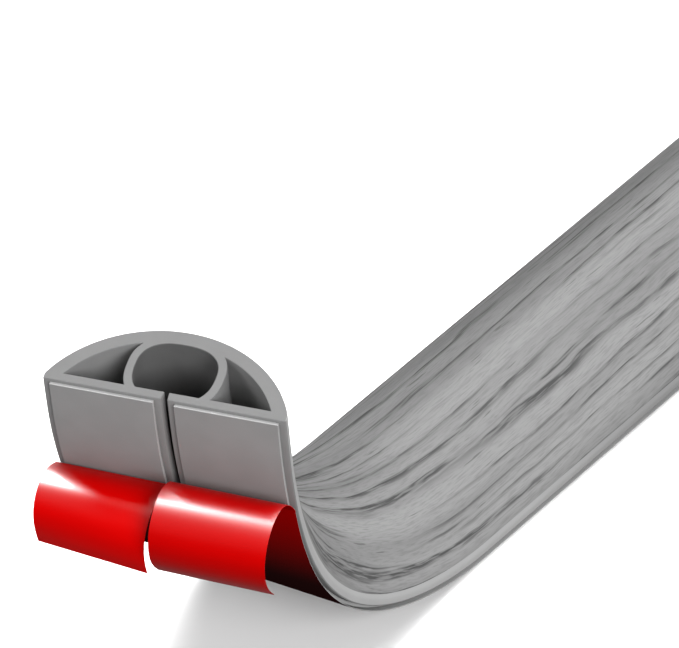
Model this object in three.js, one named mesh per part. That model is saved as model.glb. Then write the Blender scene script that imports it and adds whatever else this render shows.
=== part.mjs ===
// A floor cord cover: a soft extruded profile with a cord channel, an adhesive strip on each half of
// its underside, and the release film of each strip, peeled back and curled over at the upturned end.
// Millimetres, +Z up. The straight run lies along +Y and the upturned end is towards -Y.
import * as THREE from "three";

// Section of the extruded profile
const coverWidth = 68;
const coverHeight = 24.5;
const sideHeight = 2; // upright edge between the base and the dome
const domeWall = 4.2;
const basePlate = 2.7;
const channelWidth = 22.4;
const channelMiddle = 10.5; // height above the base where the channel is widest
const channelFloorWidth = 17.8;
const crownWall = 4.7; // from the channel's ceiling to the top of the dome
const tubeWall = 2.4; // wall between the channel and the hollow on each side of it
const slitWidth = 1.8; // at the underside
const slitMouth = 1.3; // where the slit opens into the channel
const channelSquareness = 2.5; // 2 is an ellipse, more is squarer

// Adhesive strips and release films
const stripThickness = 0.8;
const stripBorder = 2; // bare profile beside each long edge of a strip
const stripInset = 1; // bare profile at each cut end
const filmThickness = 0.2;
const seat = 0.25; // clearance between layers that lie on each other

// Lie of the piece: a straight run, a bend that turns up and a little sideways, and a straight end
const developedLength = 1000;
const bendLength = 188;
const endLength = 6;
const bendAngle = THREE.MathUtils.degToRad(78);
const twistAngle = THREE.MathUtils.degToRad(19);
const bendEasing = 0.25; // how much more the bend curves near the run than near the end

// Peeled part of the films
const peeledLength = 37; // from the cut end to where a film still holds
const peelRadius = 3;
const freeLengthLeft = 38; // of film from where it holds to its loose edge
const freeLengthRight = 51;
const liftLeft = THREE.MathUtils.degToRad(24); // pitch with which a film sets out from the strip
const liftRight = THREE.MathUtils.degToRad(50);
const curlAngleLeft = THREE.MathUtils.degToRad(133);
const curlAngleRight = THREE.MathUtils.degToRad(184);
const swingLeft = THREE.MathUtils.degToRad(7.5); // how far a film's loose edge turns from the held edge
const swingRight = THREE.MathUtils.degToRad(1);

// Fineness of the curves
const domeSegments = 24;
const channelSegments = 28;
const chamberSegments = 8;
const bendSteps = 32;
const peelSteps = 4;
const curlSteps = 28;
const integrationStep = 0.5; // along the bend, for the middle line
const halvings = 40;

// Sizes that follow from the ones above
const halfWidth = coverWidth / 2;
const domeRise = coverHeight - sideHeight;
const domeRadius = (halfWidth ** 2 + domeRise ** 2) / (2 * domeRise);
const domeCentre = coverHeight - domeRadius;
const hollowRadius = domeRadius - domeWall;
const runLength = developedLength - bendLength - endLength;
const stripTop = -seat;
const stripBottom = stripTop - stripThickness;
const filmTop = stripBottom - seat;
const filmBottom = filmTop - filmThickness;

const profilePlastic = new THREE.MeshStandardMaterial({ color: 0x9c9c9c, roughness: 0.55, metalness: 0 });
const stripFoam = new THREE.MeshStandardMaterial({ color: 0x828282, roughness: 0.8, metalness: 0 });
const filmRed = new THREE.MeshStandardMaterial({ color: 0xe00000, roughness: 0.25, metalness: 0 });

// A power that keeps the sign of its base, for the squared-off oval of the channel.
function signedPower(value, exponent) {
  return Math.sign(value) * Math.abs(value) ** exponent;
}

// Half-heights of the channel's oval above and below its widest level.
const ovalAbove = coverHeight - crownWall - channelMiddle;
const floorShare = (channelFloorWidth / channelWidth) ** channelSquareness;
const ovalBelow = (channelMiddle - basePlate) / (1 - floorShare) ** (1 / channelSquareness);

// A point on the channel's oval, or on the oval a wall's thickness outside it.
function ovalPoint(angle, wall) {
  const exponent = 2 / channelSquareness;
  const halfHeight = (Math.sin(angle) < 0 ? ovalBelow : ovalAbove) + wall;
  return new THREE.Vector2(
    (channelWidth / 2 + wall) * signedPower(Math.cos(angle), exponent),
    channelMiddle + halfHeight * signedPower(Math.sin(angle), exponent),
  );
}

// The angle below the horizontal at which that oval comes down to the base plate.
function ovalFloorAngle(wall) {
  const share = (channelMiddle - basePlate) / (ovalBelow + wall);
  return Math.asin(share ** (channelSquareness / 2));
}

// The angle at which the tube's outer face runs into the inner face of the dome, by halving.
function tubeMeetsDome() {
  let low = 0;
  let high = Math.PI / 2;
  for (let i = 0; i < halvings; i += 1) {
    const middle = (low + high) / 2;
    const point = ovalPoint(middle, tubeWall);
    const inside = Math.hypot(point.x, point.y - domeCentre) < hollowRadius;
    low = inside ? middle : low;
    high = inside ? high : middle;
  }
  return low;
}

// Points from one angle to another on the tube's oval.
function ovalRun(from, to, segments, wall) {
  return Array.from({ length: segments + 1 }, (_, i) =>
    ovalPoint(THREE.MathUtils.lerp(from, to, i / segments), wall));
}

// The hollow on one side of the channel: side is 1 for the right and -1 for the left.
function hollowPath(side) {
  const meetAngle = tubeMeetsDome();
  const tubeFace = ovalRun(meetAngle, -ovalFloorAngle(tubeWall), chamberSegments, tubeWall);
  const meet = tubeFace[0];
  const startAngle = Math.atan2(basePlate - domeCentre, Math.sqrt(
    hollowRadius ** 2 - (basePlate - domeCentre) ** 2));
  const endAngle = Math.atan2(meet.y - domeCentre, meet.x);
  const domeFace = Array.from({ length: chamberSegments }, (_, i) => {
    const angle = THREE.MathUtils.lerp(startAngle, endAngle, i / chamberSegments);
    return new THREE.Vector2(hollowRadius * Math.cos(angle), domeCentre + hollowRadius * Math.sin(angle));
  });
  const points = [...domeFace, ...tubeFace];
  return new THREE.Path(points.map((p) => new THREE.Vector2(side * p.x, p.y)));
}

// The whole profile: dome, base plate, slit and channel in one outline, with a hollow on each side.
function coverSection() {
  const sideAngle = Math.atan2(sideHeight - domeCentre, halfWidth);
  const floorAngle = ovalFloorAngle(0);
  const section = new THREE.Shape();
  section.moveTo(slitWidth / 2, 0);
  section.lineTo(halfWidth, 0);
  section.lineTo(halfWidth, sideHeight);
  for (let i = 1; i <= domeSegments; i += 1) {
    const angle = THREE.MathUtils.lerp(sideAngle, Math.PI - sideAngle, i / domeSegments);
    section.lineTo(domeRadius * Math.cos(angle), domeCentre + domeRadius * Math.sin(angle));
  }
  section.lineTo(-halfWidth, 0);
  section.lineTo(-slitWidth / 2, 0);
  section.lineTo(-slitMouth / 2, basePlate);
  for (const point of ovalRun(Math.PI + floorAngle, -floorAngle, channelSegments, 0)) {
    section.lineTo(point.x, point.y);
  }
  section.lineTo(slitMouth / 2, basePlate);
  section.holes.push(hollowPath(1), hollowPath(-1));
  return section;
}

// A flat band under one half of the base: side is 1 for the right and -1 for the left.
function bandSection(side, inner, outer, bottom, top) {
  return new THREE.Shape([
    new THREE.Vector2(side * inner, bottom),
    new THREE.Vector2(side * outer, bottom),
    new THREE.Vector2(side * outer, top),
    new THREE.Vector2(side * inner, top),
  ]);
}

// The section's axes where the line climbs at one angle and has turned sideways by another.
function axesAt(pitch, turn) {
  return {
    along: new THREE.Vector3(
      Math.sin(turn) * Math.cos(pitch), -Math.cos(turn) * Math.cos(pitch), Math.sin(pitch)),
    across: new THREE.Vector3(Math.cos(turn), Math.sin(turn), 0),
    up: new THREE.Vector3(
      -Math.sin(turn) * Math.sin(pitch), Math.cos(turn) * Math.sin(pitch), Math.cos(pitch)),
    pitch,
    turn,
  };
}

// Axes a share of the way round the bend: the pitch grows a little faster at first, and the sideways
// turn eases in and out.
function bendAxes(share) {
  const pitch = bendAngle * share * (1 + bendEasing * (1 - share));
  const turn = twistAngle * THREE.MathUtils.smoothstep(share, 0, 1);
  return axesAt(pitch, turn);
}

// A station on the middle line of the base, a distance along it from where the bend begins.
function stationAt(distance) {
  const point = new THREE.Vector3(0, Math.max(0, -distance), -filmBottom);
  const bent = THREE.MathUtils.clamp(distance, 0, bendLength);
  const count = Math.ceil(bent / integrationStep);
  for (let i = 0; i < count; i += 1) {
    point.addScaledVector(bendAxes(((i + 0.5) / count) * (bent / bendLength)).along, bent / count);
  }
  const axes = bendAxes(bent / bendLength);
  point.addScaledVector(axes.along, Math.max(0, distance - bendLength));
  return { point, ...axes };
}

// Stations of the straight run and the bend, then on to a last one at the distance given.
function stationsTo(first, last) {
  const bend = Array.from({ length: bendSteps + 1 }, (_, i) => (i * bendLength) / bendSteps);
  const distances = [first, ...bend.filter((d) => d < last - integrationStep), last];
  return distances.map(stationAt);
}

// Stations of a film: held under the strip up to the peel, then sharply out from it and round in a
// curl, where its pitch falls and its width swings by a smooth step of the length walked.
function filmStations({ freeLength, lift, curlAngle, swing }) {
  const peel = bendLength + endLength - peeledLength;
  const held = stationsTo(stripInset - runLength, peel);
  const start = held[held.length - 1];
  const surface = start.point.clone().addScaledVector(start.up, filmTop);
  const kink = start.pitch - lift;
  const kinkLength = peelRadius * kink;
  const axesAfter = (walked) => {
    const curled = curlAngle * THREE.MathUtils.smoothstep(walked, kinkLength, freeLength);
    const pitch = start.pitch - kink * Math.min(1, walked / kinkLength) - curled;
    return axesAt(pitch, start.turn - swing * THREE.MathUtils.smoothstep(walked, 0, freeLength));
  };
  const steps = [
    ...Array(peelSteps).fill(kinkLength / peelSteps),
    ...Array(curlSteps).fill((freeLength - kinkLength) / curlSteps),
  ];
  let walked = 0;
  const free = steps.map((step) => {
    surface.addScaledVector(axesAfter(walked + step / 2).along, step);
    walked += step;
    const axes = axesAfter(walked);
    return { point: surface.clone().addScaledVector(axes.up, -filmTop), ...axes };
  });
  return [...held, ...free];
}

// The line that a section is carried along, with the section's own axes at each station.
class StationLine extends THREE.Curve {
  constructor(stations) {
    super();
    this.stations = stations;
  }

  getSpacedPoints() {
    return this.stations.map((station) => station.point);
  }

  computeFrenetFrames() {
    return {
      tangents: this.stations.map((station) => station.along),
      normals: this.stations.map((station) => station.across),
      binormals: this.stations.map((station) => station.up),
    };
  }
}

function sweep(name, section, stations, material) {
  const extrudePath = new StationLine(stations);
  const geometry = new THREE.ExtrudeGeometry(section, { steps: stations.length - 1, extrudePath });
  const mesh = new THREE.Mesh(geometry, material);
  mesh.name = name;
  return mesh;
}

const cordCover = new THREE.Group();

const cutEnd = bendLength + endLength;
cordCover.add(sweep("cover_profile", coverSection(), stationsTo(-runLength, cutEnd), profilePlastic));

const curlLeft = {
  freeLength: freeLengthLeft, lift: liftLeft, curlAngle: curlAngleLeft, swing: swingLeft };
const curlRight = {
  freeLength: freeLengthRight, lift: liftRight, curlAngle: curlAngleRight, swing: swingRight };

for (const { word, side, curl } of [
  { word: "left", side: -1, curl: curlLeft },
  { word: "right", side: 1, curl: curlRight },
]) {
  const stripStations = stationsTo(stripInset - runLength, cutEnd - stripInset);
  const stripBand = bandSection(
    side, slitWidth / 2 + stripBorder, halfWidth - stripBorder, stripBottom, stripTop);
  const filmBand = bandSection(side, slitWidth / 2, halfWidth, filmBottom, filmTop);
  cordCover.add(sweep(`adhesive_strip_${word}`, stripBand, stripStations, stripFoam.clone()));
  cordCover.add(sweep(`release_film_${word}`, filmBand, filmStations(curl), filmRed.clone()));
}

// The origin is the middle of the footprint, on the floor.
const bounds = new THREE.Box3().setFromObject(cordCover);
const middle = bounds.getCenter(new THREE.Vector3());
cordCover.position.set(-middle.x, -middle.y, -bounds.min.z);

export default cordCover;
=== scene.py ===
"""Looks of the floor cord cover: the extruded profile with its printed grain, the foam adhesive
strips under it, and their red release films, peeled back and curled at the upturned end.

Metres, in the frame's own axes: the straight run lies along +Y and the upturned end is towards -Y.
"""
import math

import bpy
import numpy as np
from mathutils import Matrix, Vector
from mathutils.geometry import delaunay_2d_cdt


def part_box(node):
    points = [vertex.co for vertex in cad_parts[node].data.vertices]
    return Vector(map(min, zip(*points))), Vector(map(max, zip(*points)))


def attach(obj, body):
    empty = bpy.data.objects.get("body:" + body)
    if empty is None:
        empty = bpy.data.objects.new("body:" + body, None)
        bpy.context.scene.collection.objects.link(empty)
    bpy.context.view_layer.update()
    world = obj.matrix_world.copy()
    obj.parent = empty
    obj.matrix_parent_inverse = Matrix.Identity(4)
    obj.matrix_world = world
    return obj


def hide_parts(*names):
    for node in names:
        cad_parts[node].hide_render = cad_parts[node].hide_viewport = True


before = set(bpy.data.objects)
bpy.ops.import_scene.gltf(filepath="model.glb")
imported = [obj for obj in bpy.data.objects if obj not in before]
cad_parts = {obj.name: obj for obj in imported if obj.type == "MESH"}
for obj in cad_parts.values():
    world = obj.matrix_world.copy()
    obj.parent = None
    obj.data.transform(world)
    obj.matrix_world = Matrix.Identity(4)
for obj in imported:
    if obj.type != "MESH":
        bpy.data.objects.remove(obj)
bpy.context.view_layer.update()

# Section of the profile
COVER_WIDTH = 0.068
COVER_HEIGHT = 0.0245
SIDE_HEIGHT = 0.002
DOME_WALL = 0.0042
BASE_PLATE = 0.0027
CHANNEL_WIDTH = 0.0224
CHANNEL_MIDDLE = 0.0105
CHANNEL_FLOOR_WIDTH = 0.0178
CROWN_WALL = 0.0047
TUBE_WALL = 0.0024
SLIT_WIDTH = 0.0018
SLIT_MOUTH = 0.0013
CHANNEL_SQUARENESS = 2.5
HALF_WIDTH = COVER_WIDTH / 2
DOME_RISE = COVER_HEIGHT - SIDE_HEIGHT
DOME_RADIUS = (HALF_WIDTH ** 2 + DOME_RISE ** 2) / (2 * DOME_RISE)
DOME_CENTRE = COVER_HEIGHT - DOME_RADIUS

# Half-heights of the channel's oval above and below its widest level
OVAL_ABOVE = COVER_HEIGHT - CROWN_WALL - CHANNEL_MIDDLE
FLOOR_SHARE = (CHANNEL_FLOOR_WIDTH / CHANNEL_WIDTH) ** CHANNEL_SQUARENESS
OVAL_BELOW = (CHANNEL_MIDDLE - BASE_PLATE) / (1 - FLOOR_SHARE) ** (1 / CHANNEL_SQUARENESS)

# Strips and films
STRIP_THICKNESS = 0.0008
STRIP_BORDER = 0.002
STRIP_INSET = 0.001
FILM_THICKNESS = 0.0002
SEAT = 0.00025
STRIP_TOP = 0.0  # the seat clearance of the solids is closed here
STRIP_BOTTOM = -SEAT - STRIP_THICKNESS
FILM_TOP = STRIP_BOTTOM - SEAT
FILM_BOTTOM = FILM_TOP - FILM_THICKNESS

# Lie of the piece
DEVELOPED_LENGTH = 1.0
BEND_LENGTH = 0.188
END_LENGTH = 0.006
BEND_ANGLE = math.radians(78)
TWIST_ANGLE = math.radians(19)
BEND_EASING = 0.25
PEELED_LENGTH = 0.037
PEEL_RADIUS = 0.003
SIDES = {"left": -1, "right": 1}
FREE_LENGTH = {"left": 0.038, "right": 0.051}
LIFT = {"left": math.radians(24), "right": math.radians(50)}
CURL_ANGLE = {"left": math.radians(133), "right": math.radians(184)}
SWING = {"left": math.radians(7.5), "right": math.radians(1)}

# From the start of the bend: back to the far end, and on to the cut end and to where a film comes off
RUN_LENGTH = DEVELOPED_LENGTH - BEND_LENGTH - END_LENGTH
CUT_END = BEND_LENGTH + END_LENGTH
PEEL = CUT_END - PEELED_LENGTH

# Small rounds at corners, and at the rims where a piece is cut off
LIP_ROUND = 0.0003
FOOT_ROUND = 0.0004
SHOULDER_ROUND = 0.0005
SHOULDER_CLEAR = 0.0006  # the dome's points start this far above the shoulder
STRIP_ROUND = 0.0002
FILM_ROUND = 0.00006
COVER_RIM = 0.00022
STRIP_RIM = 0.00015
FILM_RIM = 0.00004

# Heights above the base at which the plain edging begins and the printed foil takes over
EDGE_START = 0.0002
FOIL_START = 0.0032

# How near a point has to be to count as on the dome, on the edging, at a width or on a strip's face
DOME_CLOSENESS = 0.0003
EDGING_CLOSENESS = 0.0004
WIDTH_CLOSENESS = 0.00001
FACE_CLOSENESS = 0.00005

# Fineness
STEP = 0.0015
RUN_STATIONS = 60
MIDDLE_POINTS = 778
KINK_POINTS = 13
CURL_POINTS = 91
DOME_POINTS = 121
CHANNEL_POINTS = 97
TUBE_POINTS = 121
HOLLOW_POINTS = 33
RIM_STEPS = 4
ROUND_STEPS = 5
CAP_WITH_HOLES = 2  # the triangulation's kind of output: the inside, with holes left open
CAP_CLOSENESS = 1e-7  # points nearer than this are one point to the triangulation

# Camera and lights
VIEW_AROUND = math.radians(35.91)
VIEW_ABOVE = math.radians(36.18)
VIEW_DISTANCE = 2.26726
VIEW_AIM = (-0.01868, 0.0, 0.05707)  # from the start of the bend
SENSOR_WIDTH = 36
FOCAL_PIXELS = 8000
PICTURE_WIDTH = 679
LIGHT_AIM = (0.0, -0.1, 0.06)  # from the start of the bend
SURROUNDINGS = 0.33
FLOOR_REACH = 12.0

# The start of the bend on the middle line of the base, read off the frame
cover_low, cover_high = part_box("cover_profile")
BEND_START = np.array([cover_low.x + HALF_WIDTH, cover_high.y - RUN_LENGTH, cover_low.z])


def smooth_step(share):
    """3s^2 - 2s^3 of a share s, which is held between 0 and 1."""
    share = np.clip(share, 0.0, 1.0)
    return share ** 2 * (3.0 - 2.0 * share)


def axes(pitch, turn):
    """Along, across and up of the section where the line climbs at pitch and has turned sideways.

    Along is (sin turn cos pitch, -cos turn cos pitch, sin pitch). Across is (cos turn, sin turn, 0).
    Up is (-sin turn sin pitch, cos turn sin pitch, cos pitch), which is square to both.
    """
    zero = np.zeros_like(pitch)
    along = np.stack([np.sin(turn) * np.cos(pitch), -np.cos(turn) * np.cos(pitch), np.sin(pitch)], 1)
    across = np.stack([np.cos(turn), np.sin(turn), zero], 1)
    up = np.stack([-np.sin(turn) * np.sin(pitch), np.cos(turn) * np.sin(pitch), np.cos(pitch)], 1)
    return along, across, up


def bend_angles(distance):
    """Pitch and turn at distances from the bend's start.

    The pitch is the bend angle times the share of the way round, times 1 plus the easing times the
    share that is left. The turn is the twist angle times the smooth step of the share of the way.
    """
    share = np.clip(distance / BEND_LENGTH, 0.0, 1.0)
    pitch = BEND_ANGLE * share * (1.0 + BEND_EASING * (1.0 - share))
    return pitch, TWIST_ANGLE * smooth_step(share)


def middle_line(distance):
    """Points on the middle line of the base: the direction along it added up in small steps from the
    bend's start, and straight back along +Y before it."""
    fine = np.linspace(0.0, CUT_END, MIDDLE_POINTS)
    along = axes(*bend_angles((fine[1:] + fine[:-1]) / 2))[0]
    walked = np.vstack([np.zeros(3), np.cumsum(along * np.diff(fine)[:, None], axis=0)])
    points = np.stack([np.interp(distance, fine, walked[:, k]) for k in range(3)], 1)
    points[:, 1] += np.maximum(0.0, -distance)
    return points + BEND_START


class Path:
    """Stations that a profile is carried along: points, axes and the distance at each."""

    def __init__(self, distance, points, along, across, up):
        self.distance = distance
        self.points = points
        self.along = along
        self.across = across
        self.up = up


def path_between(first, last):
    """Stations from one distance to another: wide apart on the run and close together in the bend."""
    run = np.linspace(first, -STEP, RUN_STATIONS)
    bend = np.linspace(0.0, last, int(round(last / STEP)) + 1)
    distance = np.concatenate([run, bend])
    return Path(distance, middle_line(distance), *axes(*bend_angles(distance)))


def film_path(word):
    """Stations of a film: held under its strip up to the peel, then sharply out and round in a curl.

    Past the peel the pitch drops evenly by the kink along a small round. Then it falls by the curl
    angle times the smooth step of the share walked, while the film swings sideways by its swing times
    another such step. The film's top face is the direction along it added up from the peel.
    """
    held = path_between(STRIP_INSET - RUN_LENGTH, PEEL)
    pitch, turn = (angle[0] for angle in bend_angles(np.array([PEEL])))
    free = FREE_LENGTH[word]
    kink = pitch - LIFT[word]
    kink_length = PEEL_RADIUS * kink

    def axes_after(walked):
        curled = CURL_ANGLE[word] * smooth_step((walked - kink_length) / (free - kink_length))
        swung = SWING[word] * smooth_step(walked / free)
        return axes(pitch - kink * np.minimum(1.0, walked / kink_length) - curled, turn - swung)

    walked = np.concatenate([
        np.linspace(0, kink_length, KINK_POINTS)[1:],
        np.linspace(kink_length, free, CURL_POINTS)[1:],
    ])
    step = np.diff(walked, prepend=0.0)
    face = held.points[-1] + held.up[-1] * FILM_TOP
    face = face + np.cumsum(axes_after(walked - step / 2)[0] * step[:, None], axis=0)
    along, across, up = axes_after(walked)
    return Path(
        np.concatenate([held.distance, PEEL + walked]),
        np.vstack([held.points, face - up * FILM_TOP]),
        np.vstack([held.along, along]),
        np.vstack([held.across, across]),
        np.vstack([held.up, up]),
    )


def arc(centre, radius, start, end, count):
    """Points on a circle in the section, at angles evenly spread from start to end."""
    angle = np.linspace(start, end, count)
    return np.stack([radius * np.cos(angle), centre + radius * np.sin(angle)], 1)


def oval(start, end, count, wall):
    """Points on the squared-off oval of the channel, or a wall outside it.

    x is the half-width times |cos a|^(2/n) and y the half-height times |sin a|^(2/n), each with its
    sign, where n is the squareness, and the half-height differs above and below the widest level.
    """
    angle = np.linspace(start, end, count)
    power = 2 / CHANNEL_SQUARENESS
    half_height = np.where(np.sin(angle) < 0, OVAL_BELOW, OVAL_ABOVE) + wall
    x = (CHANNEL_WIDTH / 2 + wall) * np.sign(np.cos(angle)) * np.abs(np.cos(angle)) ** power
    y = CHANNEL_MIDDLE + half_height * np.sign(np.sin(angle)) * np.abs(np.sin(angle)) ** power
    return np.stack([x, y], 1)


def oval_floor_angle(wall):
    """The angle below the horizontal at which that oval reaches the base plate."""
    share = (CHANNEL_MIDDLE - BASE_PLATE) / (OVAL_BELOW + wall)
    return math.asin(share ** (CHANNEL_SQUARENESS / 2))


def rounded(before, corner, after, reach):
    """A small round for a corner: (1-t)^2 S + 2t(1-t) P + t^2 E, where P is the corner and S and E
    lie a reach away from it towards its two neighbours."""
    before, corner, after = (np.array(point, float) for point in (before, corner, after))
    start = corner + reach * (before - corner) / np.linalg.norm(before - corner)
    end = corner + reach * (after - corner) / np.linalg.norm(after - corner)
    t = np.linspace(0, 1, ROUND_STEPS + 1)[:, None]
    return (1 - t) ** 2 * start + 2 * t * (1 - t) * corner + t ** 2 * end


def mirrored(points):
    """The same points on the left of the section, in the order that goes on round it."""
    return points[::-1] * (-1, 1)


def cover_outline():
    """Outer outline of the section, counter-clockwise from the slit's right lip: base, flank, dome,
    the same back down on the left, then up the slit and round the channel."""
    side_angle = math.atan2(SIDE_HEIGHT - DOME_CENTRE, HALF_WIDTH)
    lip, foot = (SLIT_WIDTH / 2, 0.0), (HALF_WIDTH, 0.0)
    shoulder, mouth = (HALF_WIDTH, SIDE_HEIGHT), (SLIT_MOUTH / 2, BASE_PLATE)
    left_lip, left_mouth = (-SLIT_WIDTH / 2, 0.0), (-SLIT_MOUTH / 2, BASE_PLATE)
    dome = arc(DOME_CENTRE, DOME_RADIUS, side_angle, math.pi - side_angle, DOME_POINTS)
    dome = dome[dome[:, 1] > SIDE_HEIGHT + SHOULDER_CLEAR]
    floor_angle = oval_floor_angle(0)
    channel = oval(math.pi + floor_angle, -floor_angle, CHANNEL_POINTS, 0)
    right = np.vstack([
        rounded(mouth, lip, foot, LIP_ROUND),
        rounded(lip, foot, shoulder, FOOT_ROUND),
        rounded(foot, shoulder, dome[0], SHOULDER_ROUND),
    ])
    into = rounded(left_lip, left_mouth, channel[0], LIP_ROUND)
    out = rounded(channel[-1], mouth, lip, LIP_ROUND)
    return np.vstack([right, dome, mirrored(right), into, channel, out])


def hollow_outline(side):
    """Outline of the hollow on one side, clockwise: the dome's inner face, then the tube's outer face
    down to the base plate. The tube's face starts where it comes out of the dome."""
    radius = DOME_RADIUS - DOME_WALL
    tube = oval(math.pi / 2, -oval_floor_angle(TUBE_WALL), TUBE_POINTS, TUBE_WALL)
    tube = tube[np.hypot(tube[:, 0], tube[:, 1] - DOME_CENTRE) < radius]
    start = math.asin((BASE_PLATE - DOME_CENTRE) / radius)
    end = math.atan2(tube[0, 1] - DOME_CENTRE, tube[0, 0])
    dome = arc(DOME_CENTRE, radius, start, end, HOLLOW_POINTS)
    outline = np.vstack([dome[:-1], tube])
    return outline[::-1] if side > 0 else outline * (-1, 1)


def band_outline(side, inner, outer, bottom, top, reach):
    """Outline of a flat band under one half of the base, counter-clockwise, with rounded corners."""
    low, high = sorted((side * inner, side * outer))
    corners = [(low, bottom), (high, bottom), (high, top), (low, top)]
    return np.vstack([
        rounded(corners[k - 1], corners[k], corners[(k + 1) % 4], reach) for k in range(4)
    ])


def outward(outline):
    """Unit normals of a counter-clockwise outline: its tangent by central difference, turned right."""
    ahead = np.roll(outline, -1, 0) - outline
    behind = outline - np.roll(outline, 1, 0)
    tangent = ahead / np.linalg.norm(ahead, axis=1)[:, None]
    tangent = tangent + behind / np.linalg.norm(behind, axis=1)[:, None]
    normal = np.stack([tangent[:, 1], -tangent[:, 0]], 1)
    return normal / np.linalg.norm(normal, axis=1)[:, None]


def rim_stations(path, rim):
    """Stations with a rounded rim at both ends: at each, which station it is, how far it moves
    outwards along the line, how far the profile shrinks, and how far the normal leans along."""
    angle = np.linspace(0, math.pi / 2, RIM_STEPS + 1)
    count = len(path.distance)
    near = np.zeros(RIM_STEPS + 1, int)
    station = np.concatenate([near, np.arange(1, count - 1), near + count - 1])
    flat = np.zeros(count - 2)
    move = np.concatenate([rim * (1 - np.sin(angle[::-1])), flat, -rim * (1 - np.sin(angle))])
    shrink = np.concatenate([rim * (1 - np.cos(angle[::-1])), flat, rim * (1 - np.cos(angle))])
    lean = np.concatenate([-angle[::-1], flat, angle])
    return station, move, shrink, lean


def swept_normals(outline, path, station, lean):
    """Unit normals of an outline carried along a path, at the stations named.

    A normal is the outline's tangent cross the direction in which that point moves on to the next
    station, turned to the outer side, and it leans along the line at a rim.
    """
    along, across, up = (part[station][:, None, :] for part in (path.along, path.across, path.up))
    normal = outward(outline)
    line = path.points[:, None] + path.across[:, None] * outline[:, :1]
    line = line + path.up[:, None] * outline[:, 1:]
    flat_normal = across * normal[None, :, :1] + up * normal[None, :, 1:]
    tangent = up * normal[None, :, :1] - across * normal[None, :, 1:]
    sideways = np.cross(np.gradient(line, axis=0)[station], tangent)
    sideways /= np.linalg.norm(sideways, axis=2)[..., None]
    sideways *= np.sign(np.sum(sideways * flat_normal, 2))[..., None]
    lean_in, lean_out = np.cos(lean)[:, None, None], np.sin(lean)[:, None, None]
    return lean_in * sideways + lean_out * along


def carried(outlines, path, rim):
    """The outlines of a section carried along a path, with a rounded rim at each end.

    A point is the station's place, plus x across and y up, after the outline has shrunk along its
    normals. Returns places, normals, quads, u round the outline and v along the line in metres, and
    the indices of each outline's first and last ring.
    """
    station, move, shrink, lean = rim_stations(path, rim)
    along, across, up = (part[station][:, None, :] for part in (path.along, path.across, path.up))
    base = path.points[station][:, None, :] + along * move[:, None, None]
    distance = path.distance[station] + move
    places, normals, quads, marks, loops = [], [], [], [], []
    first = 0
    for outline in outlines:
        shape = outline[None] - shrink[:, None, None] * outward(outline)[None]
        place = base + across * shape[..., :1] + up * shape[..., 1:]
        rings, count = len(station), len(outline)
        index = first + np.arange(rings * count).reshape(rings, count)
        ahead = np.roll(index, -1, 1)
        length = np.linalg.norm(np.roll(outline, -1, 0) - outline, axis=1)
        girth = np.concatenate([[0.0], np.cumsum(length)[:-1]])
        mark = np.stack(np.broadcast_arrays(girth[None, :], distance[:, None]), -1)
        places.append(place.reshape(-1, 3))
        normals.append(swept_normals(outline, path, station, lean).reshape(-1, 3))
        quads.append(np.stack([index[:-1], ahead[:-1], ahead[1:], index[1:]], -1).reshape(-1, 4))
        marks.append(mark.reshape(-1, 2))
        loops.append((index[0], index[-1]))
        first += rings * count
    return [np.vstack(part) for part in (places, normals, quads, marks)] + [loops]


def cap(outlines, loops, flip):
    """Triangles that fill a flat end between the outlines, as index triples into the mesh.

    The outlines are the fixed edges of a Delaunay triangulation, which leaves the holes open.
    """
    points = [Vector(point) for point in np.vstack(outlines).tolist()]
    rings, first = [], 0
    for outline in outlines:
        rings.append(list(range(first, first + len(outline))))
        first += len(outline)
    edges = [(ring[k - 1], ring[k]) for ring in rings for k in range(len(ring))]
    found = delaunay_2d_cdt(points, edges, rings, CAP_WITH_HOLES, CAP_CLOSENESS)
    source = np.array([origin[0] for origin in found[3]])
    triangles = np.concatenate(loops)[source[np.array(found[2])]]
    return triangles[:, ::-1] if flip else triangles


def swept_piece(name, outlines, path, rim):
    """A closed mesh of the outlines carried along the path, with flat caps and exact normals."""
    places, normals, quads, marks, loops = carried(outlines, path, rim)
    start = cap(outlines, [first for first, last in loops], True)
    end = cap(outlines, [last for first, last in loops], False)
    mesh = bpy.data.meshes.new(name)
    mesh.from_pydata(places.tolist(), [], quads.tolist() + start.tolist() + end.tolist())
    layer = mesh.uv_layers.new(name="lie")
    corners = np.zeros(len(mesh.loops), np.int32)
    mesh.loops.foreach_get("vertex_index", corners)
    layer.data.foreach_set("uv", marks[corners].ravel())
    mesh.polygons.foreach_set("use_smooth", np.ones(len(mesh.polygons), bool))
    mesh.normals_split_custom_set_from_vertices(normals.tolist())
    piece = bpy.data.objects.new(name, mesh)
    bpy.context.collection.objects.link(piece)
    return piece


def dress(piece, finishes, kinds, rest):
    """Give a swept piece its finishes. Kinds says which one each face of the first outline has, with
    a row for each step along the path. All other faces have the one numbered rest."""
    faces = np.full(len(piece.data.polygons), rest, np.int32)
    faces[:kinds.size] = kinds.ravel()
    for finish in finishes:
        piece.data.materials.append(finish)
    piece.data.polygons.foreach_set("material_index", faces)


def every_step(kinds, path):
    """The same kinds round the outline for each step along the path, its rims among them."""
    rings = len(path.distance) - 2 + 2 * (RIM_STEPS + 1)
    return np.tile(kinds, (rings - 1, 1))


def grey(level):
    """A grey of that linear level, as a colour for a socket."""
    return (level, level, level, 1.0)


def red(level):
    """A pure red of that linear level, as a colour for a socket."""
    return (level, 0.0, 0.0, 1.0)


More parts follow.
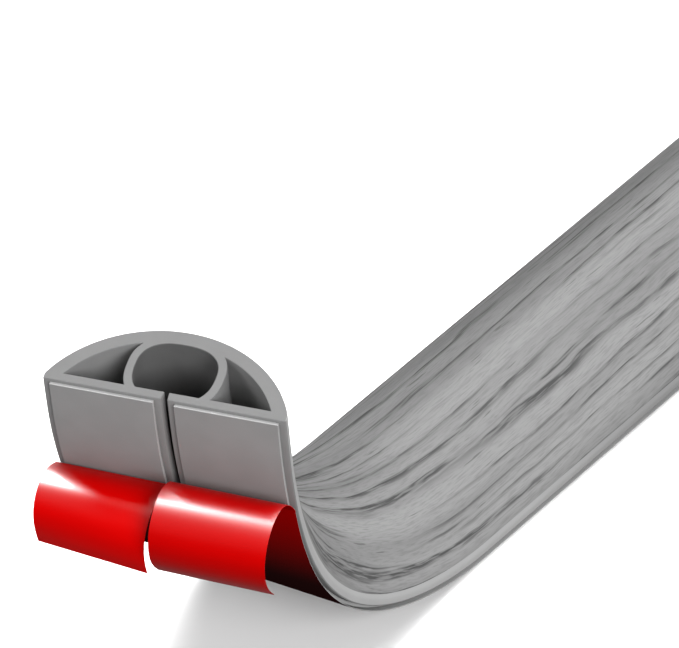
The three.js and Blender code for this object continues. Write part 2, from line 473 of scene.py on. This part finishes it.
class Finish:
    """A material being built: its node tree, its shader and short ways to add nodes."""

    def __init__(self, name, roughness, gloss):
        self.material = bpy.data.materials.new(name)
        self.material.use_nodes = True
        self.tree = self.material.node_tree
        self.shader = self.tree.nodes["Principled BSDF"]
        self.shader.inputs["Roughness"].default_value = roughness
        self.shader.inputs["Specular IOR Level"].default_value = gloss

    def node(self, kind, **values):
        """A node of that kind with its properties set."""
        made = self.tree.nodes.new(kind)
        for key, value in values.items():
            setattr(made, key, value)
        return made

    def link(self, source, target):
        """A link from one socket to another."""
        self.tree.links.new(source, target)

    def put(self, socket, value):
        """A link where value is a socket, and a plain number or colour where it is not."""
        if isinstance(value, bpy.types.NodeSocket):
            self.link(value, socket)
        else:
            socket.default_value = value

    def place(self):
        """Object coordinates in metres."""
        return self.node("ShaderNodeTexCoord").outputs["Object"]

    def lie(self):
        """The piece's own UV map in metres: u round the section and v along the line."""
        lie = self.node("ShaderNodeUVMap", uv_map="lie")
        apart = self.node("ShaderNodeSeparateXYZ")
        self.link(lie.outputs[0], apart.inputs[0])
        return apart.outputs[0], apart.outputs[1]

    def math(self, operation, first, second=0.0, third=0.0):
        """The result of that operation on up to three values."""
        made = self.node("ShaderNodeMath", operation=operation)
        for socket, value in zip(made.inputs, (first, second, third)):
            self.put(socket, value)
        return made.outputs[0]

    def spread(self, value, low, high, out_low=0.0, out_high=1.0):
        """The value carried smoothly from one range to another."""
        made = self.node("ShaderNodeMapRange", interpolation_type="SMOOTHSTEP")
        self.put(made.inputs["Value"], value)
        made.inputs["From Min"].default_value = low
        made.inputs["From Max"].default_value = high
        made.inputs["To Min"].default_value = out_low
        made.inputs["To Max"].default_value = out_high
        return made.outputs["Result"]

    def noise(self, vector, scale, detail=2.0, roughness=0.5):
        """Soft noise from 0 to 1, scale times a metre."""
        made = self.node("ShaderNodeTexNoise")
        self.link(vector, made.inputs["Vector"])
        made.inputs["Scale"].default_value = scale
        made.inputs["Detail"].default_value = detail
        made.inputs["Roughness"].default_value = roughness
        return made.outputs["Fac"]

    def pack(self, x, y, z=0.0):
        """A vector of three values."""
        made = self.node("ShaderNodeCombineXYZ")
        for socket, value in zip(made.inputs, (x, y, z)):
            self.put(socket, value)
        return made.outputs[0]

    def mix(self, share, first, second):
        """The first colour where the share is 0 and the second where it is 1."""
        made = self.node("ShaderNodeMix", data_type="RGBA")
        self.put(made.inputs[0], share)
        self.put(made.inputs[6], first)
        self.put(made.inputs[7], second)
        return made.outputs[2]

    def clouded(self, scale, first, second):
        """A colour that drifts between two in soft clouds, scale times a metre."""
        cloud = self.noise(self.place(), scale, 3)
        return self.mix(self.spread(cloud, 0.3, 0.7), first, second)

    def colour(self, value):
        """Give the shader its colour."""
        self.link(value, self.shader.inputs["Base Color"])

    def bump(self, height, distance, strength):
        """Raise the surface by the height times the distance, in looks only."""
        made = self.node("ShaderNodeBump")
        made.inputs["Strength"].default_value = strength
        made.inputs["Distance"].default_value = distance
        self.link(height, made.inputs["Height"])
        self.link(made.outputs["Normal"], self.shader.inputs["Normal"])

    def tooth(self):
        """The fine tooth of extruded plastic."""
        self.bump(self.noise(self.place(), 2600, 3, 0.6), 0.00003, 0.35)


def bare_plastic():
    """The extruded plastic where it has no print: satin grey, faintly clouded, with a fine tooth."""
    finish = Finish("bare profile plastic", roughness=0.6, gloss=0.0011)
    finish.colour(finish.clouded(60, grey(0.215), grey(0.232)))
    finish.tooth()
    return finish.material


def channel_wall_painted_shade():
    """The same plastic on the channel's wall, painted darker than where it is cut, as shade inside the
    channel.
    """
    finish = Finish("channel wall painted shade", roughness=0.6, gloss=0.0025)
    # painted shade: the wall's grey is set darker to stand for the shade inside the channel
    finish.colour(finish.clouded(60, grey(0.105), grey(0.12)))
    return finish.material


def edging_painted_lighter():
    """The plastic of the plain band along each lower edge, painted lighter than the bare plastic as if
    lit, most of all round the bend, and with the same tooth."""
    finish = Finish("plain edge plastic painted lighter", roughness=0.6, gloss=0.0007)
    along = finish.lie()[1]
    # painted light: pale is the lit-looking grey of the band in the bend, and the run gets a less
    # light grey that is still above the bare plastic's
    pale = finish.clouded(60, grey(0.385), grey(0.41))
    finish.colour(finish.mix(finish.spread(along, -0.09, 0.0), grey(0.29), pale))
    finish.tooth()
    return finish.material


def printed_grain():
    """The foil on the dome, printed with long grey grain.

    Rings are a saw-tooth of the place across the foil, bent by slow noise, so that lines run along
    the length, drift, split and meet. Each is sharp on one side and fades on the other. Noise drawn
    out along the length sets where a line is strong, frays it, and adds streaks, pores and fibres.
    """
    finish = Finish("printed grain foil", roughness=0.5, gloss=0.0007)
    u, v = finish.lie()

    def drawn_out(place, across, along, shift, detail=2.0):
        """Noise that repeats about so many times a metre across the foil and along it."""
        x = finish.math("MULTIPLY", place, across)
        y = finish.math("MULTIPLY", v, along)
        return finish.noise(finish.pack(x, y, shift), 1, detail)

    slow = drawn_out(u, 14, 5, 1.3, 1)
    quick = drawn_out(u, 60, 34, 4.1, 2)
    swayed = finish.math("MULTIPLY_ADD", slow, 0.010, u)
    swayed = finish.math("MULTIPLY_ADD", quick, 0.0022, swayed)

    band = drawn_out(swayed, 85, 3, 3.1)
    tone = finish.mix(finish.spread(band, 0.35, 0.65), grey(0.348), grey(0.264))

    spacing = finish.math("MULTIPLY", drawn_out(u, 48, 3.2, 9.4), 3.8)
    rings = finish.math("MULTIPLY_ADD", swayed, 180, spacing)
    saw_tooth = finish.math("FRACT", rings)
    rise = finish.spread(saw_tooth, 0.62, 0.93)
    fall = finish.spread(saw_tooth, 0.93, 0.985, 1.0, 0.0)
    ring = finish.math("MULTIPLY", rise, fall)
    strength = finish.spread(drawn_out(swayed, 75, 9, 15.2), 0.34, 0.56, 0.10, 1.0)
    ring = finish.math("MULTIPLY", ring, strength)

    streak = finish.spread(drawn_out(swayed, 240, 6, 23.0, 3), 0.55, 0.66)
    dark = finish.math("MAXIMUM", ring, streak)
    hatch = finish.spread(drawn_out(swayed, 1700, 90, 7.3), 0.36, 0.60, 0.35, 1.0)
    dark = finish.math("MULTIPLY", dark, hatch)
    pore = finish.spread(drawn_out(swayed, 950, 55, 12.8), 0.66, 0.74, 0.0, 0.6)
    fibre = finish.spread(drawn_out(swayed, 2100, 160, 31.0, 3), 0.40, 0.75, 0.0, 0.30)
    dark = finish.math("MAXIMUM", finish.math("MAXIMUM", dark, pore), fibre)
    finish.colour(finish.mix(dark, tone, grey(0.088)))
    finish.bump(finish.math("SUBTRACT", 1.0, dark), 0.00003, 0.4)
    return finish.material


def strip_foam():
    """The adhesive strips: matt darker grey foam with fine closed pores."""
    finish = Finish("adhesive foam", roughness=0.62, gloss=0.03)
    finish.colour(finish.clouded(90, grey(0.242), grey(0.255)))
    finish.bump(finish.noise(finish.place(), 3200, 2, 0.6), 0.00003, 0.3)
    return finish.material


def strip_edge_painted_lighter():
    """The cut edges of the strips, and the held films' top faces: paler foam, painted lighter to lift
    the shade in the recess under the base.
    """
    finish = Finish("foam edge painted lighter", roughness=0.62, gloss=0.005)
    finish.colour(finish.clouded(90, grey(0.39), grey(0.42)))
    return finish.material


def film_front():
    """The release films: thin glossy red plastic, slightly rippled, with painted shade that darkens
    the red towards the loose edge.
    """
    finish = Finish("red release film", roughness=0.37, gloss=0.03)
    u, v = finish.lie()
    x = finish.math("MULTIPLY", u, 30)
    y = finish.math("MULTIPLY", v, 120)
    ripple = finish.noise(finish.pack(x, y), 1, 2)
    tint = finish.mix(finish.spread(ripple, 0.3, 0.7), red(0.60), red(0.64))
    # painted shade: depth darkens the red towards the loose edge, where the curl faces down
    depth = finish.spread(v, PEEL + 0.02, PEEL + 0.048, 0.0, 0.75)
    finish.colour(finish.mix(depth, tint, red(0.22)))
    finish.bump(ripple, 0.00008, 0.1)
    return finish.material


def film_back_painted_shade():
    """The face of the films that the floor sees, painted as shade: near black and matt where it is
    held, and a shaded dark red where it is peeled.
    """
    finish = Finish("release film back painted shade", roughness=0.5, gloss=0.0)
    # painted shade: from near black under the held film to dark red past the peel
    peeled = finish.spread(finish.lie()[1], PEEL - 0.05, PEEL + 0.012)
    cloud = finish.noise(finish.place(), 45, 2)
    tint = finish.mix(cloud, red(0.27), red(0.31))
    finish.colour(finish.mix(peeled, (0.015, 0.004, 0.004, 1.0), tint))
    return finish.material


def build_cover(bare, foil, channel_shade, lit_edging):
    """The profile from its far end to the cut end, with the foil on the faces of the dome, the channel
    wall's painted shade on those of the channel, and the edging, painted lighter as if lit, on those
    between the foil and the base."""
    path = path_between(-RUN_LENGTH, CUT_END)
    outline = cover_outline()
    outlines = [outline, hollow_outline(1), hollow_outline(-1)]
    piece = swept_piece("cover_profile_printed", outlines, path, COVER_RIM)
    width = np.abs(outline[:, 0])
    height = np.minimum(outline[:, 1], np.roll(outline[:, 1], -1))
    depth = DOME_RADIUS - np.hypot(outline[:, 0], outline[:, 1] - DOME_CENTRE)
    on_dome = (height > FOIL_START) & (depth < DOME_CLOSENESS)
    in_channel = (height > BASE_PLATE) & (depth > DOME_WALL)
    in_channel &= width < CHANNEL_WIDTH / 2 + WIDTH_CLOSENESS
    on_edge = (depth < EDGING_CLOSENESS) | (width > HALF_WIDTH - WIDTH_CLOSENESS)
    on_edge &= (height > EDGE_START) & ~on_dome
    kinds = every_step(on_dome + 2 * in_channel + 3 * on_edge, path)
    dress(piece, (bare, foil, channel_shade, lit_edging), kinds, rest=0)
    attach(piece, "root")
    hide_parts("cover_profile")


def build_strip(word, foam, edge):
    """One adhesive strip under its half of the base, with the paler finish, painted lighter against
    the shade in the recess, on all but its face.
    """
    path = path_between(STRIP_INSET - RUN_LENGTH, CUT_END - STRIP_INSET)
    inner, outer = SLIT_WIDTH / 2 + STRIP_BORDER, HALF_WIDTH - STRIP_BORDER
    band = band_outline(SIDES[word], inner, outer, STRIP_BOTTOM, STRIP_TOP, STRIP_ROUND)
    piece = swept_piece(f"adhesive_strip_{word}_foam", [band], path, STRIP_RIM)
    beside = np.maximum(band[:, 1], np.roll(band[:, 1], -1)) > STRIP_BOTTOM + FACE_CLOSENESS
    dress(piece, (foam, edge), every_step(beside, path), rest=1)
    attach(piece, "root")
    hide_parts(f"adhesive_strip_{word}")


def build_film(word, front, back, edge):
    """One release film, held under its strip along the run and curled over at the upturned end. Its
    top face has the strip edge's paler grey for as long as it is held, painted lighter to lift the
    shade in the recess under the base, and its bottom face has painted shade."""
    path = film_path(word)
    band = band_outline(
        SIDES[word], SLIT_WIDTH / 2, HALF_WIDTH, FILM_BOTTOM, FILM_TOP, FILM_ROUND)
    piece = swept_piece(f"release_film_{word}_red", [band], path, FILM_RIM)
    below = np.maximum(band[:, 1], np.roll(band[:, 1], -1)) < (FILM_TOP + FILM_BOTTOM) / 2
    station = rim_stations(path, FILM_RIM)[0][:-1]
    held = path.distance[station] < PEEL
    # painted light and shade: the held top face takes the lighter strip-edge grey, and the bottom face
    # takes the painted shade
    kinds = np.where(below[None, :], 1, np.where(held[:, None], 2, 0))
    dress(piece, (front, back, edge), kinds, rest=0)
    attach(piece, "root")
    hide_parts(f"release_film_{word}")


def build_floor():
    """A wide pale floor that the run lies on. It throws no light back up on to the piece and isn't
    mirrored in it."""
    mesh = bpy.data.meshes.new("floor")
    corners = FLOOR_REACH * np.array([(-1, -1, 0), (1, -1, 0), (1, 1, 0), (-1, 1, 0)])
    mesh.from_pydata(corners.tolist(), [], [(0, 1, 2, 3)])
    floor = bpy.data.objects.new("floor", mesh)
    bpy.context.collection.objects.link(floor)
    finish = Finish("pale floor", roughness=0.5, gloss=0.03)
    cloud = finish.noise(finish.place(), 1.5, 2)
    finish.colour(finish.mix(cloud, grey(0.92), grey(0.93)))
    mesh.materials.append(finish.material)
    floor.visible_diffuse = False
    floor.visible_glossy = False


def add_light(name, direction, distance, size, share, gloss_only=False):
    """A rectangular area light that lies in that direction from the upturned end and faces it.

    The share is how bright a white card facing the light would look. The power that gives it is the
    share times pi squared times the distance squared. A gloss-only light adds highlights alone.
    """
    data = bpy.data.lights.new(name, "AREA")
    data.shape = "RECTANGLE"
    data.size, data.size_y = size
    data.energy = share * (math.pi * distance) ** 2
    light = bpy.data.objects.new(name, data)
    light.visible_diffuse = not gloss_only
    bpy.context.collection.objects.link(light)
    towards = Vector(direction).normalized()
    light.location = Vector(BEND_START) + Vector(LIGHT_AIM) + towards * distance
    light.rotation_euler = (-towards).to_track_quat("-Z", "Y").to_euler()


def add_camera():
    """The camera of the photograph: far off, with a long lens, 36 degrees round and 36 above."""
    back = Vector((
        math.sin(VIEW_AROUND) * math.cos(VIEW_ABOVE),
        -math.cos(VIEW_AROUND) * math.cos(VIEW_ABOVE),
        math.sin(VIEW_ABOVE),
    ))
    data = bpy.data.cameras.new("camera")
    data.sensor_width = SENSOR_WIDTH
    data.lens = SENSOR_WIDTH * FOCAL_PIXELS / PICTURE_WIDTH
    data.clip_end = 100
    camera = bpy.data.objects.new("camera", data)
    bpy.context.collection.objects.link(camera)
    camera.location = Vector(BEND_START) + Vector(VIEW_AIM) + back * VIEW_DISTANCE
    camera.rotation_euler = (-back).to_track_quat("-Z", "Y").to_euler()
    bpy.context.scene.camera = camera


def light_the_studio():
    """White surroundings, three large soft lights, and a gloss-only one for the films' crests."""
    world = bpy.data.worlds.new("studio")
    world.use_nodes = True
    world.node_tree.nodes["Background"].inputs["Color"].default_value = grey(1.0)
    world.node_tree.nodes["Background"].inputs["Strength"].default_value = SURROUNDINGS
    bpy.context.scene.world = world
    add_light("right_front", (0.80, -0.45, 0.50), 3.0, (1.6, 1.6), 1.0)
    add_light("left_front", (-0.35, -0.85, 0.50), 3.0, (1.4, 1.4), 0.30)
    add_light("back", (-0.1, 1.0, 0.5), 3.0, (1.8, 1.8), 0.62)
    add_light("crest", (-0.38, 0.36, 0.85), 2.0, (1.7, 1.0), 330.0, gloss_only=True)


bpy.context.scene.view_settings.view_transform = "Standard"
build_cover(bare_plastic(), printed_grain(), channel_wall_painted_shade(), edging_painted_lighter())
# edge is the strip-edge finish, painted lighter than the foam against the shade in the recess
foam, edge = strip_foam(), strip_edge_painted_lighter()
# back is the films' bottom face, painted as shade
front, back = film_front(), film_back_painted_shade()
for word in SIDES:
    build_strip(word, foam, edge)
    build_film(word, front, back, edge)
build_floor()
add_camera()
light_the_studio()
